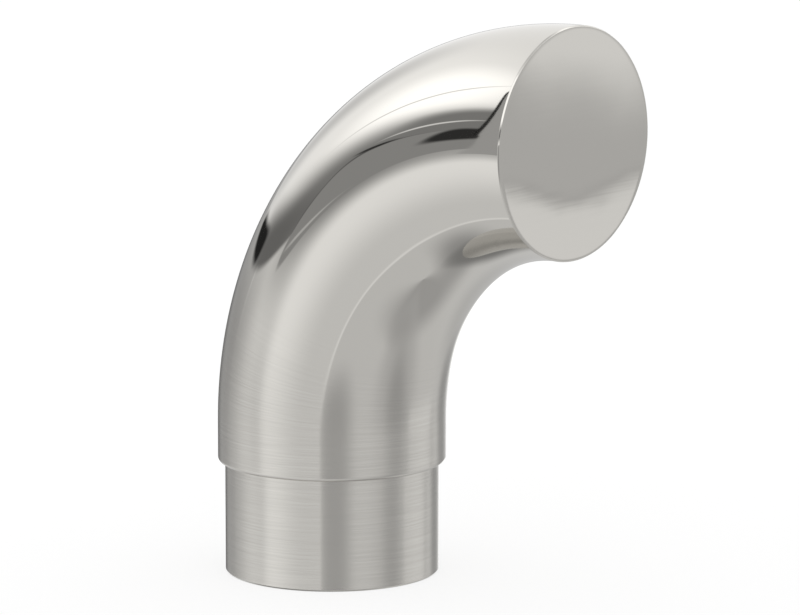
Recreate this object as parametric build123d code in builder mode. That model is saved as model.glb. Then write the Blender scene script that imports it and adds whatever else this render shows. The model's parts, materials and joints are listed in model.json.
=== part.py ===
"""Handrail wall return: a hollow cast end piece that turns a round rail into the wall.

It is one casting. A spigot slides into the open end of the rail tube, the body carries on
at the rail's own diameter through a quarter turn, and a flat end wall closes it against
the wall. The origin is the centre of the shoulder that the rail butts against, with +Z up
the spigot's axis and +X out of the end wall, so the bend lies in the XZ plane.
"""

import os

from build123d import *

# Driving dimensions, in millimetres and degrees
rail_diameter = 50.8
rail_tube_wall = 1.27
spigot_clearance = 0.33
spigot_length = 25.0
straight_length = 9.0
bend_radius = 69.0
bend_angle = 90.0
casting_wall = 5.0
end_wall = 4.0

# Edges, each eased by no more than its share of the wall that it's cut in
edge_share = 0.6
shoulder_round = 0.9
face_rim_break = 0.25
spigot_lead_in = 0.4
mouth_break = 0.4
core_corner = 2.5

# Worked out from the driving dimensions
rail_radius = rail_diameter / 2
spigot_radius = rail_radius - rail_tube_wall - spigot_clearance
bore_radius = rail_radius - casting_wall
shoulder_width = rail_radius - spigot_radius
spigot_wall = spigot_radius - bore_radius


def rail_line(start_height):
    """The rail's centreline, from start_height up the straight run and round the bend."""
    with BuildLine(Plane.XZ) as centreline:
        run = Line((0, start_height), (0, straight_length))
        JernArc(start=run @ 1, tangent=run % 1, radius=bend_radius, arc_size=-bend_angle)
    return centreline.line


body_line = rail_line(0)
wall_plane = Plane(origin=body_line @ 1, z_dir=body_line % 1)

# The hollow, as the core that the casting is poured round
with BuildPart() as core:
    with BuildSketch(Plane.XY.offset(-spigot_length)):
        Circle(bore_radius)
    sweep(path=rail_line(-spigot_length))
    core_stop = wall_plane.offset(-end_wall)
    split(bisect_by=core_stop, keep=Keep.BOTTOM)
    closed_end = core.faces().sort_by_distance(core_stop.origin)[0]
    chamfer(closed_end.edges(), length=min(core_corner, edge_share * bore_radius))

with BuildPart() as wall_return:
    # Body at the rail's diameter, with both of its end edges eased
    with BuildSketch(Plane.XY):
        Circle(rail_radius)
    sweep(path=body_line)
    wall_face = wall_return.faces().sort_by_distance(wall_plane.origin)[0]
    chamfer(wall_face.edges(), length=min(face_rim_break, edge_share * end_wall))
    shoulder = wall_return.faces().sort_by(Axis.Z)[0]
    fillet(shoulder.edges(), radius=min(shoulder_round, edge_share * shoulder_width))

    # Spigot that the rail tube slides over, with a lead-in at its open end
    with BuildSketch(Plane.XY):
        Circle(spigot_radius)
    extrude(amount=-spigot_length)
    spigot_end = wall_return.faces().sort_by(Axis.Z)[0]
    chamfer(spigot_end.edges(), length=min(spigot_lead_in, edge_share * spigot_wall / 2))

    # The hollow, open at the spigot and closed by the end wall
    add(core.part, mode=Mode.SUBTRACT)
    mouth = wall_return.faces().sort_by(Axis.Z)[0].inner_wires()
    chamfer(mouth.edges(), length=min(mouth_break, edge_share * spigot_wall / 2))

wall_return.part.label = "wall_return"

os.makedirs("parts", exist_ok=True)
export_step(wall_return.part, "parts/wall_return.step")
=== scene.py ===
"""Looks of the handrail wall return: its polished casting, the floor, the light and the camera.

Lengths are in metres in the part's own frame: the spigot's axis is Z, the bend lies in the
XZ plane, and the closed face looks along +X. Angles in named values are in degrees.
"""

import json
import math
from typing import NamedTuple

import bpy
import numpy as np
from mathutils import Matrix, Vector


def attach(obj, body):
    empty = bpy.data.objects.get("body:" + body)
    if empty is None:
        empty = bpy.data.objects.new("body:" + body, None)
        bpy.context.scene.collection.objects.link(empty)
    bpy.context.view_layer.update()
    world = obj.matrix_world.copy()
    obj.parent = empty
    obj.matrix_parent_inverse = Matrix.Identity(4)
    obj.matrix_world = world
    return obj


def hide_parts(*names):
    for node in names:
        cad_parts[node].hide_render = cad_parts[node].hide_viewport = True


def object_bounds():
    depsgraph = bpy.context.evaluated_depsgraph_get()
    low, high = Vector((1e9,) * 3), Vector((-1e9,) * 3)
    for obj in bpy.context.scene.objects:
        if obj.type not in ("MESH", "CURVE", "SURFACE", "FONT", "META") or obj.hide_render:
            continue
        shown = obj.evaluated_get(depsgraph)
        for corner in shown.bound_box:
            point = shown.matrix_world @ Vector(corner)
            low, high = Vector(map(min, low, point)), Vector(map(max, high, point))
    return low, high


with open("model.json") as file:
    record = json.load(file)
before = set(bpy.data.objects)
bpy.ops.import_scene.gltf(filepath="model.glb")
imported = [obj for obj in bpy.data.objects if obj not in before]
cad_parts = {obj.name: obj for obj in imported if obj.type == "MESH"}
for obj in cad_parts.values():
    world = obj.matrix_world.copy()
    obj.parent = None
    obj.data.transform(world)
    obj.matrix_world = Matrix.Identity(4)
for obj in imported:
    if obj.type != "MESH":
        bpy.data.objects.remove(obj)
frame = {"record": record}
cad_low, cad_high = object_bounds()

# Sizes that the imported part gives
mounts = {mount["name"]: mount for mount in frame["record"]["mounts"]}
rail_radius = cad_high.y
bend_radius = cad_high.x
spigot_radius = mounts["spigot"]["dims"]["r_mm"] / 1000
spigot_length = -cad_low.z
straight_length = cad_high.z - rail_radius - bend_radius
centreline_length = straight_length + bend_radius * math.pi / 2

# Sizes that the casting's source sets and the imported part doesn't name
casting_wall = 0.005
end_wall = 0.004
shoulder_round = 0.0009
rim_break = 0.00025
lead_in = 0.0004
mouth_break = 0.0004
core_corner = 0.0025
bore_radius = rail_radius - casting_wall

# Small rounds that soften the cut edges
edge_soft = 0.00012
rim_soft = 0.00012
core_soft = 0.001

# Polishing leaves the face leaning back by this many degrees at its rim, and by less further
# in. Only its shading leans, so the face itself stays flat against the wall.
face_lean = 3.7
face_lean_power = 2

# Mesh steps
around_steps = 192
corner_steps = 5
shoulder_steps = 12
face_steps = 24
bend_steps = 120
spigot_steps = 12
end_ring_steps = 2
bore_steps = 72
core_end_steps = 8


class Corner(NamedTuple):
    """A corner of the casting's section, so far along the rail and so far from its axis.

    The run is the stretch from this corner to the next. A corner with no round is sharp.
    """

    along: float
    radius: float
    run: str
    run_steps: int = 1
    round_radius: float = 0
    round_steps: int = corner_steps


def section_corners():
    """Half of the casting's section, from the face's middle round to the core's closed end."""
    face = centreline_length
    face_radius = rail_radius - rim_break
    spigot_end = -spigot_length
    core_end = centreline_length - end_wall
    face_radii = [face_radius * step / face_steps for step in range(face_steps)]
    return [Corner(face, radius, "face") for radius in face_radii] + [
        Corner(face, face_radius, "rim", 1, rim_soft),
        Corner(face - rim_break, rail_radius, "body", bend_steps, rim_soft),
        Corner(0, rail_radius, "body", 1, shoulder_round, shoulder_steps),
        Corner(0, spigot_radius, "spigot", spigot_steps, edge_soft),
        Corner(spigot_end + lead_in, spigot_radius, "lead_in", 1, edge_soft),
        Corner(spigot_end, spigot_radius - lead_in, "end_ring", end_ring_steps, edge_soft),
        Corner(spigot_end, bore_radius + mouth_break, "mouth", 1, edge_soft),
        Corner(spigot_end + mouth_break, bore_radius, "bore", bore_steps, edge_soft),
        Corner(core_end - core_corner, bore_radius, "bore", 1, core_soft),
        Corner(core_end, bore_radius - core_corner, "bore", core_end_steps, core_soft),
        Corner(core_end, 0, "bore"),
    ]


def unit(vector):
    return vector / np.linalg.norm(vector)


def round_points(before, here, after, radius, steps):
    """Points on the round that eases the corner at here, from its first side to its second."""
    back = unit(before - here)
    ahead = unit(after - here)
    half_angle = math.acos(back @ ahead) / 2
    reach = radius / math.tan(half_angle)
    middle = here + unit(back + ahead) * radius / math.sin(half_angle)
    first_arm = here + back * reach - middle
    last_arm = here + ahead * reach - middle
    turn = math.pi - 2 * half_angle
    points = []
    for step in range(steps + 1):
        share = step / steps
        arm = math.sin((1 - share) * turn) * first_arm + math.sin(share * turn) * last_arm
        points.append(middle + arm / math.sin(turn))
    return points


def section_points(corners):
    """The section's points through its rounded corners, and the run that each point is in."""
    places = [np.array([corner.along, corner.radius]) for corner in corners]
    rounds = []
    for index, corner in enumerate(corners):
        if corner.round_radius:
            sides = places[index - 1:index + 2]
            rounds.append(round_points(*sides, corner.round_radius, corner.round_steps))
        else:
            rounds.append([places[index]])

    points = []
    runs = []
    for index, corner in enumerate(corners):
        points += rounds[index]
        for step in range(1, corner.run_steps):
            start = rounds[index][-1]
            end = rounds[index + 1][0]
            points.append(start + (end - start) * step / corner.run_steps)
        runs += [corner.run] * (len(points) - len(runs))
    return np.array(points), runs


def section_normals(points, runs):
    """The outward normal at each point: its part along the rail and its part off the axis."""
    steps = np.diff(points, axis=0)
    step_normals = np.stack([steps[:, 1], -steps[:, 0]], axis=1)
    padded = np.vstack([step_normals[:1], step_normals, step_normals[-1:]])
    normals = padded[:-1] + padded[1:]
    normals /= np.linalg.norm(normals, axis=1, keepdims=True)
    on_face = np.array(runs) == "face"
    lean = math.tan(math.radians(face_lean)) * (points[:, 1] / rail_radius) ** face_lean_power
    normals[on_face] += np.outer(lean[on_face], (0, 1))
    return normals / np.linalg.norm(normals, axis=1, keepdims=True)


def sweep(points, normals, angle):
    """Places and normals of the section's points at each angle round the rail's centreline."""
    along = points[:, 0]
    radius = points[:, 1][:, None]
    bend = np.clip((along - straight_length) / bend_radius, 0, None)
    curved = (bend > 0)[:, None]
    centre = np.stack([
        bend_radius * (1 - np.cos(bend)),
        np.zeros_like(bend),
        np.minimum(along, straight_length) + bend_radius * np.sin(bend),
    ], axis=1)
    forward = np.stack([np.sin(bend), np.zeros_like(bend), np.cos(bend)], axis=1)
    inward = np.stack([np.cos(bend), np.zeros_like(bend), -np.sin(bend)], axis=1)
    outward = (
        inward[:, None, :] * np.cos(angle)[None, :, None]
        + np.array([0, 1, 0])[None, None, :] * np.sin(angle)[None, :, None]
    )
    places = centre[:, None, :] + outward * radius[:, :, None]

    # The bend packs the section's steps closer on its inside and draws them out on its outside
    stretch = np.where(curved, 1 - radius * np.cos(angle)[None, :] / bend_radius, 1)
    directions = (
        forward[:, None, :] * (normals[:, 0][:, None] / stretch)[:, :, None]
        + outward * normals[:, 1][:, None, None]
    )
    directions /= np.linalg.norm(directions, axis=2, keepdims=True)
    return places, directions


def as_vertices(swept):
    """Swept values in the order of the mesh's vertices: all the rings, then the two poles."""
    rings = swept[1:-1].reshape(-1, 3)
    return np.vstack([rings, swept[0, :1], swept[-1, :1]])


def row_faces(runs):
    """The faces from pole to pole, row by row round the rail, and the run that each is in."""
    ring_count = len(runs) - 2
    first_pole = ring_count * around_steps
    last_pole = first_pole + 1
    last_ring = first_pole - around_steps
    sides = [(column, (column + 1) % around_steps) for column in range(around_steps)]
    faces = [(first_pole, a, b) for a, b in sides]
    for here in range(0, last_ring, around_steps):
        ahead = here + around_steps
        faces += [(here + a, ahead + a, ahead + b, here + b) for a, b in sides]
    faces += [(last_pole, last_ring + b, last_ring + a) for a, b in sides]
    face_runs = [run for run in runs[:-1] for side in sides]
    return faces, face_runs


def add_wrap(mesh, points, angle):
    """Gives each vertex its distance along the rail and a seamless pair for the way round."""
    wrap = np.stack(np.broadcast_arrays(points[:, :1], np.cos(angle), np.sin(angle)), axis=2)
    attribute = mesh.attributes.new("along_and_around", "FLOAT_VECTOR", "POINT")
    attribute.data.foreach_set("vector", as_vertices(wrap).ravel())


def add_section_map(mesh, points):
    """Adds a map whose first axis is along the section and whose second is round the rail."""
    section = np.append(0, np.cumsum(np.linalg.norm(np.diff(points, axis=0), axis=1)))
    section /= section[-1]
    vertex_section = np.append(np.repeat(section[1:-1], around_steps), [section[0], section[-1]])
    pole_column = -1
    columns = np.tile(np.arange(around_steps), len(points) - 2)
    vertex_column = np.append(columns, [pole_column, pole_column])

    face_sizes = np.zeros(len(mesh.polygons), dtype=int)
    mesh.polygons.foreach_get("loop_total", face_sizes)
    face_column = np.repeat(np.arange(len(face_sizes)), face_sizes) % around_steps
    corner_vertex = np.zeros(len(mesh.loops), dtype=int)
    mesh.loops.foreach_get("vertex_index", corner_vertex)
    corner_column = vertex_column[corner_vertex]

    # A face's corners are in its own column or the next, and a pole is halfway between them
    around = np.where(corner_column == face_column, face_column, face_column + 1)
    around = np.where(corner_column == pole_column, face_column + 0.5, around) / around_steps
    places = np.stack([vertex_section[corner_vertex], around], axis=1)
    section_map = mesh.uv_layers.new(name="section_map")
    section_map.uv.foreach_set("vector", places.astype(np.float32).ravel())


def casting_mesh():
    """The whole casting as one closed mesh with exact normals, and the run of each face."""
    points, runs = section_points(section_corners())
    angle = np.arange(around_steps) * 2 * np.pi / around_steps
    places, directions = sweep(points, section_normals(points, runs), angle)
    faces, face_runs = row_faces(runs)
    mesh = bpy.data.meshes.new("casting")
    mesh.from_pydata(as_vertices(places).tolist(), [], faces)
    mesh.polygons.foreach_set("use_smooth", [True] * len(faces))
    mesh.normals_split_custom_set_from_vertices(as_vertices(directions).tolist())
    add_wrap(mesh, points, angle)
    add_section_map(mesh, points)
    return mesh, face_runs


class Nodes:
    """A short way to add nodes to a tree and join them."""

    def __init__(self, tree):
        self.tree = tree
        tree.nodes.clear()

    def add(self, kind, **settings):
        node = self.tree.nodes.new(kind)
        for name, value in settings.items():
            setattr(node, name, value)
        return node

    def join(self, value, socket):
        """Links the socket to another node's output, or sets it to a plain value."""
        if isinstance(value, bpy.types.NodeSocket):
            self.tree.links.new(value, socket)
        else:
            socket.default_value = value

    def math(self, operation, *values):
        node = self.add("ShaderNodeMath", operation=operation)
        for socket, value in zip(node.inputs, values):
            self.join(value, socket)
        return node.outputs[0]

    def multiply(self, first, second):
        """Two vectors multiplied part by part."""
        node = self.add("ShaderNodeVectorMath", operation="MULTIPLY")
        self.join(first, node.inputs[0])
        self.join(second, node.inputs[1])
        return node.outputs[0]

    def parts(self, vector):
        """The vector's X, Y and Z."""
        node = self.add("ShaderNodeSeparateXYZ")
        self.join(vector, node.inputs[0])
        return node.outputs["X"], node.outputs["Y"], node.outputs["Z"]

    def pair(self, x, y):
        node = self.add("ShaderNodeCombineXYZ")
        self.join(x, node.inputs["X"])
        self.join(y, node.inputs["Y"])
        return node.outputs[0]

    def ramp(self, value, from_low, from_high, to_low=0.0, to_high=1.0, smooth=True):
        kind = "SMOOTHSTEP" if smooth else "LINEAR"
        node = self.add("ShaderNodeMapRange", interpolation_type=kind)
        for name, number in (
            ("Value", value),
            ("From Min", from_low),
            ("From Max", from_high),
            ("To Min", to_low),
            ("To Max", to_high),
        ):
            self.join(number, node.inputs[name])
        return node.outputs["Result"]

    def between(self, share, first, second):
        """The number that goes evenly from first to second as the share goes from 0 to 1."""
        return self.ramp(share, 0.0, 1.0, first, second, smooth=False)

    def mix(self, share, first, second):
        node = self.add("ShaderNodeMix", data_type="RGBA")
        self.join(share, node.inputs["Factor"])
        self.join(first, node.inputs["A"])
        self.join(second, node.inputs["B"])
        return node.outputs["Result"]

    def noise(self, place, scale, detail):
        node = self.add("ShaderNodeTexNoise")
        self.join(place, node.inputs["Vector"])
        self.join(scale, node.inputs["Scale"])
        self.join(detail, node.inputs["Detail"])
        return node.outputs[0]

    def bump(self, height, strength, distance, under=None):
        """A bump of this height map, laid over the bump under it where there is one."""
        node = self.add("ShaderNodeBump")
        self.join(height, node.inputs["Height"])
        self.join(strength, node.inputs["Strength"])
        self.join(distance, node.inputs["Distance"])
        if under is not None:
            self.join(under, node.inputs["Normal"])
        return node.outputs[0]


steel_colour = (0.668, 0.651, 0.615, 1)

# Nearly all of a noise lies between these two levels
noise_low = 0.3
noise_high = 0.7


def new_material(name):
    material = bpy.data.materials.new(name)
    material.use_nodes = True
    return material, Nodes(material.node_tree)


def steel_shader(nodes, colour, roughness, bump, anisotropy=0.0, tangent=None):
    shader = nodes.add("ShaderNodeBsdfPrincipled")
    nodes.join(colour, shader.inputs["Base Color"])
    nodes.join(1.0, shader.inputs["Metallic"])
    nodes.join(roughness, shader.inputs["Roughness"])
    nodes.join(anisotropy, shader.inputs["Anisotropic"])
    nodes.join(bump, shader.inputs["Normal"])
    if tangent is not None:
        nodes.join(tangent, shader.inputs["Tangent"])
    output = nodes.add("ShaderNodeOutputMaterial")
    nodes.join(shader.outputs[0], output.inputs["Surface"])


def object_place(nodes):
    return nodes.add("ShaderNodeTexCoord").outputs["Object"]


def wrap_place(nodes):
    """Distance along the rail, and the pair of numbers for the way round it."""
    return nodes.add("ShaderNodeAttribute", attribute_name="along_and_around").outputs["Vector"]


def uneven_polish(nodes, height):
    """A bump of slow waves, this high in metres, that hand polishing leaves in the surface."""
    wave_scale = 75.0
    wave_detail = 1.0
    waves = nodes.noise(object_place(nodes), wave_scale, wave_detail)
    return nodes.bump(waves, 1.0, height)


def body_material():
    """Satin at the spigot, brushed round the rail, and polished bright towards the face."""
    satin_roughness = 0.22
    polished_roughness = 0.02
    polish_from = 0.01
    polish_to = 0.048
    brushed_anisotropy = 0.85
    line_scales = (4500.0, 1.5, 1.5)
    line_detail = 3.0
    line_height = 0.00002
    satin_line_bump = 0.035
    polished_line_bump = 0.001
    dark_tint = 0.95
    pale_tint = 1.045
    wave_height = 0.000012

    material, nodes = new_material("brushed_to_polished_steel")
    along, _, _ = nodes.parts(wrap_place(nodes))
    polish = nodes.ramp(along, polish_from, polish_to)
    roughness = nodes.between(polish, satin_roughness, polished_roughness)

    # Brushing draws fine lines round the rail, which tint the satin and leave the polish alone
    lines = nodes.noise(nodes.multiply(wrap_place(nodes), line_scales), 1.0, line_detail)
    tint = nodes.ramp(lines, noise_low, noise_high, dark_tint, pale_tint, smooth=False)
    colour = nodes.add("ShaderNodeVectorMath", operation="SCALE")
    nodes.join(steel_colour[:3], colour.inputs[0])
    nodes.join(nodes.between(polish, tint, 1.0), colour.inputs["Scale"])
    line_bump = nodes.between(polish, satin_line_bump, polished_line_bump)
    bump = nodes.bump(lines, line_bump, line_height, uneven_polish(nodes, wave_height))

    tangent = nodes.add("ShaderNodeTangent", direction_type="UV_MAP", uv_map="section_map")
    steel_shader(
        nodes, colour.outputs[0], roughness, bump, brushed_anisotropy, tangent.outputs[0]
    )
    return material


def face_material():
    """The flat closed face, polished a little less than the bend, with fine level lines."""
    line_scales = (100.0, 40.0, 1100.0)
    line_detail = 1.0
    line_height = 0.00002
    line_bump = 0.06
    smooth_roughness = 0.04
    lined_roughness = 0.055
    wave_height = 0.00004

    material, nodes = new_material("polished_face_steel")
    lines = nodes.noise(nodes.multiply(object_place(nodes), line_scales), 1.0, line_detail)
    roughness = nodes.ramp(
        lines, noise_low, noise_high, smooth_roughness, lined_roughness, smooth=False
    )
    bump = nodes.bump(lines, line_bump, line_height, uneven_polish(nodes, wave_height))
    steel_shader(nodes, steel_colour, roughness, bump)
    return material


def turned_material():
    """The spigot's open end, cut square and left with turning marks."""
    turned_roughness = 0.28
    ring_scale = 900.0
    ring_distortion = 1.5
    ring_height = 0.00002
    ring_bump = 0.08

    material, nodes = new_material("turned_edge_steel")
    rings = nodes.add("ShaderNodeTexWave", wave_type="RINGS", rings_direction="Z")
    nodes.join(object_place(nodes), rings.inputs["Vector"])
    nodes.join(ring_scale, rings.inputs["Scale"])
    nodes.join(ring_distortion, rings.inputs["Distortion"])
    bump = nodes.bump(rings.outputs["Fac"], ring_bump, ring_height)
    steel_shader(nodes, steel_colour, turned_roughness, bump)
    return material


def bore_material():
    """The cast hollow, blasted grey and grainy."""
    blasted_roughness = 0.55
    dark_grey = (0.33, 0.325, 0.31, 1)
    pale_grey = (0.42, 0.41, 0.39, 1)
    patch_scale = 140.0
    patch_detail = 2.0
    grain_scale = 1500.0
    grain_detail = 3.0
    grain_height = 0.0001
    grain_bump = 0.5

    material, nodes = new_material("cast_bore_steel")
    patches = nodes.noise(object_place(nodes), patch_scale, patch_detail)
    patches = nodes.ramp(patches, noise_low, noise_high, smooth=False)
    grain = nodes.noise(object_place(nodes), grain_scale, grain_detail)
    bump = nodes.bump(grain, grain_bump, grain_height)
    colour = nodes.mix(patches, dark_grey, pale_grey)
    steel_shader(nodes, colour, blasted_roughness, bump)
    return material


def build_casting():
    mesh, face_runs = casting_mesh()
    casting = bpy.data.objects.new("casting", mesh)
    bpy.context.collection.objects.link(casting)
    finishes = [
        (body_material(), ("rim", "body", "spigot")),
        (face_material(), ("face",)),
        (turned_material(), ("lead_in", "end_ring", "mouth")),
        (bore_material(), ("bore",)),
    ]
    slot_of_run = {}
    for slot, (material, runs) in enumerate(finishes):
        mesh.materials.append(material)
        slot_of_run.update(dict.fromkeys(runs, slot))
    mesh.polygons.foreach_set("material_index", [slot_of_run[run] for run in face_runs])
    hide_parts("wall_return")
    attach(casting, "root")


build_casting()

# Floor, a little brighter than the light alone makes it, so that it reads as plain white
floor_half = 4.0
floor_glow = 0.72
floor_share_lit = 0.28


def grey(level):
    return (level, level, level, 1)


def build_floor():
    signs = [(-1, -1), (1, -1), (1, 1), (-1, 1)]
    corners = [(x * floor_half, y * floor_half, cad_low.z) for x, y in signs]
    mesh = bpy.data.meshes.new("floor")
    mesh.from_pydata(corners, [], [(0, 1, 2, 3)])
    floor = bpy.data.objects.new("floor", mesh)
    bpy.context.collection.objects.link(floor)
    material, nodes = new_material("pale_floor")
    glow = nodes.add("ShaderNodeEmission")
    nodes.join(grey(1.0), glow.inputs["Color"])
    nodes.join(floor_glow, glow.inputs["Strength"])
    lit = nodes.add("ShaderNodeBsdfDiffuse")
    nodes.join(grey(floor_share_lit), lit.inputs["Color"])
    both = nodes.add("ShaderNodeAddShader")
    nodes.join(glow.outputs[0], both.inputs[0])
    nodes.join(lit.outputs[0], both.inputs[1])
    output = nodes.add("ShaderNodeOutputMaterial")
    nodes.join(both.outputs[0], output.inputs["Surface"])
    mesh.materials.append(material)
    floor.visible_glossy = False


build_floor()

# Studio light: soft cards all round at a great distance, laid one over another on an even
# sky and ground that meet in a soft horizon
sky_level = 1.03
ground_level = 0.68
horizon_soft = 0.6


class Card(NamedTuple):
    """A patch of light or shade: an oval, or a box with round corners where corner is above 2.

    Its middle's bearing is 0 behind the bend, along -X, and 90 along +Y. Tilt turns it in
    place, and soft is the share of its size that its edge fades over, inwards and outwards.
    """

    bearing: float
    elevation: float
    half_width: float
    half_height: float
    level: float
    corner: float = 2
    soft: float = 0.6
    tilt: float = 0


sky_cards = [
    # The overhead light and its hot middle
    Card(-8, 31, 27, 19, 1.20, corner=2.2, tilt=-12),
    Card(-20, 32, 19, 13, 1.62, corner=2.2, tilt=-12),
    # Dim wall behind the bend, with a soft far end, a darker foot and a higher near end
    Card(28, 8, 9, 14, 0.70, soft=0.9, tilt=20),
    Card(-22, 0.5, 36, 13.5, 0.25, corner=3, tilt=-24),
    Card(-12, 2, 20, 4, 0.17, soft=0.7),
    Card(-49.6, 17.2, 16, 9.8, 0.25, corner=4, soft=0.3, tilt=-24),
    # Black lens on the horizon, at the wall's far end
    Card(12, 0.5, 13, 2.2, 0.02, corner=2.6, soft=0.2, tilt=-7),
    # Seam across the overhead light
    Card(-20, 28.3, 16, 0.5, 0.95, corner=4, soft=0.5, tilt=-50),
    # Gap all round between the lights overhead and the others
    Card(0, 67, 1000, 6, 0.68, soft=0.9),
    # Lights on the far side and the near side, each over a dim strip
    Card(122, 36, 34, 20, 1.5, corner=4, soft=0.12),
    Card(120, 9, 46, 4.5, 0.26),
    Card(-122, 36, 34, 20, 1.5, corner=4, soft=0.12),
    Card(-125, 8, 44, 5, 0.26),
]

# Cards round the front, where the bearing runs on past 180 instead of jumping to -180
front_ground_cards = [
    # Shade straight below and to the front
    Card(130, -80, 85, 19, 0.44, corner=3, soft=0.5),
    Card(160, -36, 24, 38, 0.54, corner=2.5, soft=0.5),
    Card(160, -22, 11, 26, 0.40, soft=0.7),
    Card(168, -67, 22, 10, 0.46, soft=0.8),
]

back_ground_cards = [
    # Shade on the far side
    Card(70, -28, 24, 16, 0.56),
    Card(82, -11, 12, 12, 0.36),
    # What the flat face shows: light over a grey band over light with a thin dark edge
    Card(129, -9, 24, 6, 0.56, corner=4, soft=0.3),
    Card(127, 4, 13, 10.8, 0.88, corner=2.3, soft=0.22, tilt=10),
    Card(127, -15.7, 18.5, 5.6, 0.44, corner=4, soft=0.03),
    Card(127, -15.7, 18, 5.2, 0.86, corner=4, soft=0.1),
    # Shade towards the near side
    Card(-134, -13, 16, 18, 0.38),
    # Pale table top with a bright rim and a bright middle, shaded where it meets the wall
    Card(-61, -15, 58.3, 49.5, 0.90, corner=2.3, soft=0.012),
    Card(-61, -15, 56.6, 47.8, 0.74, corner=2.3, soft=0.02),
    Card(-57, -14, 24, 18, 1.03, soft=0.9),
    Card(-41, -1.2, 13, 5.2, 0.34, corner=3, soft=0.8, tilt=21),
    # Dark patch under the face, and its darker core
    Card(14, -70, 44, 10, 0.36, soft=0.7),
    Card(25, -59, 23, 17, 0.25, corner=2.6, soft=0.35),
    # Dim strip just below the horizon, darkest towards its far end, and a lamp beside it
    Card(22, -8, 36, 9, 0.38, corner=2.5),
    Card(42, -11, 16, 6, 0.16),
    Card(58, -15, 10, 3.5, 1.4, tilt=-22),
]

horizon_cards = [
    # Flat wall across the horizon, in a thin dark outline
    Card(-41, 4.0, 13.1, 6.4, 0.13, corner=4, soft=0.03, tilt=4),
    Card(-41, 3.2, 12.5, 7.1, 0.315, corner=4, soft=0.04),
    # Hairlines: a bright one above it, a black one along its top and a pale one low down
    Card(-39.5, 15, 6.5, 0.5, 0.85, soft=0.5, tilt=-18),
    Card(-33, 10.7, 4, 0.5, 0.04, soft=0.5),
    Card(-36, -2.0, 5, 0.4, 0.55, soft=0.5, tilt=4),
    # Black patch towards its near end
    Card(-47, 7.3, 3.2, 3.9, 0.035, corner=2.6, soft=0.25),
]

# A grey strip beside the part, which the bend shows just behind the face's rim, with a black
# line along its edge and a short end lower down. These are placed by turn in place of bearing
# and by spread in place of elevation: the spread is the angle from -X, and the turn goes
# round it, 0 along -Y and 90 straight up.
side_cards = [
    Card(31, 51.9, 24, 2.8, 0.02, corner=6, soft=0.02, tilt=2.2),
    Card(31, 51.9, 25, 2.25, 0.42, corner=6, soft=0.02, tilt=2.2),
    Card(-0.4, 51.5, 9, 2.0, 0.42, corner=8, soft=0.02, tilt=-3),
]


def card_mask(nodes, place, card):
    """1 inside the card and 0 outside it, with a soft edge."""
    mapping = nodes.add("ShaderNodeMapping", vector_type="TEXTURE")
    nodes.join(place, mapping.inputs["Vector"])
    nodes.join((card.bearing, card.elevation, 0), mapping.inputs["Location"])
    nodes.join((0, 0, math.radians(card.tilt)), mapping.inputs["Rotation"])
    nodes.join((card.half_width, card.half_height, 1), mapping.inputs["Scale"])
    on_card = mapping.outputs[0]
    if card.corner == 2:
        length = nodes.add("ShaderNodeVectorMath", operation="LENGTH")
        nodes.join(on_card, length.inputs[0])
        size = length.outputs["Value"]
    else:
        x_squared, y_squared, _ = nodes.parts(nodes.multiply(on_card, on_card))
        x_power = nodes.math("POWER", x_squared, card.corner / 2)
        y_power = nodes.math("POWER", y_squared, card.corner / 2)
        size = nodes.math("POWER", nodes.math("ADD", x_power, y_power), 1 / card.corner)
    return nodes.ramp(size, 1 - card.soft, 1 + card.soft, 1.0, 0.0)


def lay_cards(nodes, light, place, cards):
    """The light with each card in turn laid over it."""
    for card in cards:
        light = nodes.mix(card_mask(nodes, place, card), light, grey(card.level))
    return light


def in_degrees(nodes, angle):
    return nodes.math("MULTIPLY", angle, math.degrees(1))


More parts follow.
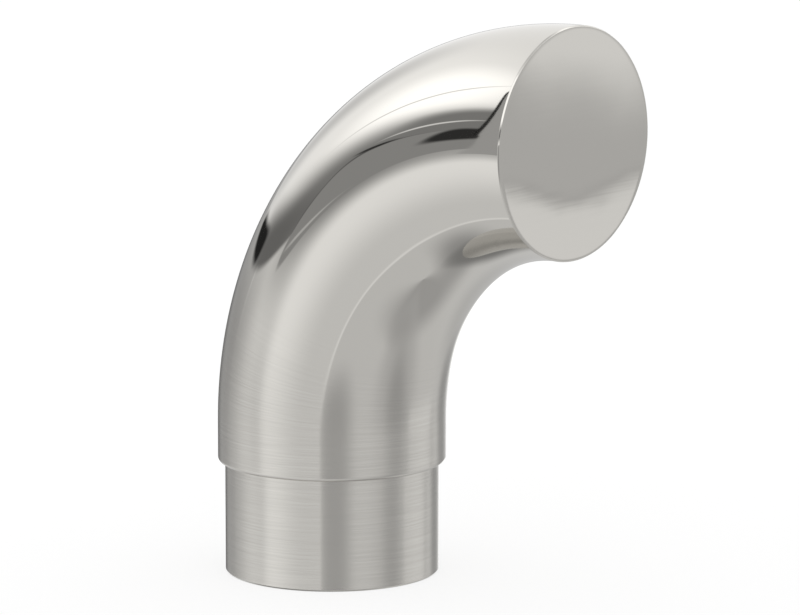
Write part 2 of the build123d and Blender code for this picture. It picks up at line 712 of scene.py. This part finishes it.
def studio_light(nodes):
    """The light that comes from each direction."""
    x, y, z = nodes.parts(nodes.add("ShaderNodeTexCoord").outputs["Generated"])
    back = nodes.math("MULTIPLY", x, -1.0)
    near = nodes.math("MULTIPLY", y, -1.0)
    bearing = in_degrees(nodes, nodes.math("ARCTAN2", y, back))
    elevation = in_degrees(nodes, nodes.math("ARCSINE", z))
    turn = in_degrees(nodes, nodes.math("ARCTAN2", z, near))
    spread = in_degrees(nodes, nodes.math("ARCCOSINE", back))
    from_back = nodes.pair(bearing, elevation)
    from_front = nodes.pair(nodes.math("FLOORED_MODULO", bearing, 360.0), elevation)
    from_side = nodes.pair(turn, spread)

    sky = lay_cards(nodes, grey(sky_level), from_back, sky_cards)
    ground = lay_cards(nodes, grey(ground_level), from_front, front_ground_cards)
    ground = lay_cards(nodes, ground, from_back, back_ground_cards)
    light = nodes.mix(nodes.ramp(elevation, -horizon_soft, horizon_soft), ground, sky)
    light = lay_cards(nodes, light, from_back, horizon_cards)
    return lay_cards(nodes, light, from_side, side_cards)


def build_world():
    """The cards for the steel to show, and plain white for the backdrop and the floor's light."""
    world = bpy.data.worlds.new("studio")
    world.use_nodes = True
    nodes = Nodes(world.node_tree)
    cards = nodes.add("ShaderNodeBackground")
    nodes.join(studio_light(nodes), cards.inputs["Color"])
    white = nodes.add("ShaderNodeBackground")
    nodes.join(grey(1.0), white.inputs["Color"])
    seen = nodes.add("ShaderNodeLightPath")
    plain = nodes.math("MAXIMUM", seen.outputs["Is Camera Ray"], seen.outputs["Is Diffuse Ray"])
    either = nodes.add("ShaderNodeMixShader")
    nodes.join(plain, either.inputs[0])
    nodes.join(cards.outputs[0], either.inputs[1])
    nodes.join(white.outputs[0], either.inputs[2])
    output = nodes.add("ShaderNodeOutputWorld")
    nodes.join(either.outputs[0], output.inputs["Surface"])
    bpy.context.scene.world = world


build_world()

# Camera, fitted to the photograph's outline
view_azimuth = 40.653
view_elevation = 10.453
view_distance = 1.3365
view_aim = Vector((0.00461, 0.01789, 0.0323))
view_lens = 268.84
view_sensor = 36


def build_camera():
    data = bpy.data.cameras.new("camera")
    data.sensor_width = view_sensor
    data.lens = view_lens
    camera = bpy.data.objects.new("camera", data)
    bpy.context.collection.objects.link(camera)
    azimuth = math.radians(view_azimuth)
    elevation = math.radians(view_elevation)
    back = Vector((
        math.sin(azimuth) * math.cos(elevation),
        -math.cos(azimuth) * math.cos(elevation),
        math.sin(elevation),
    ))
    camera.location = view_aim + back * view_distance
    camera.rotation_mode = "QUATERNION"
    camera.rotation_quaternion = (-back).to_track_quat("-Z", "Y")
    bpy.context.scene.camera = camera


build_camera()

bpy.context.scene.view_settings.view_transform = "Standard"
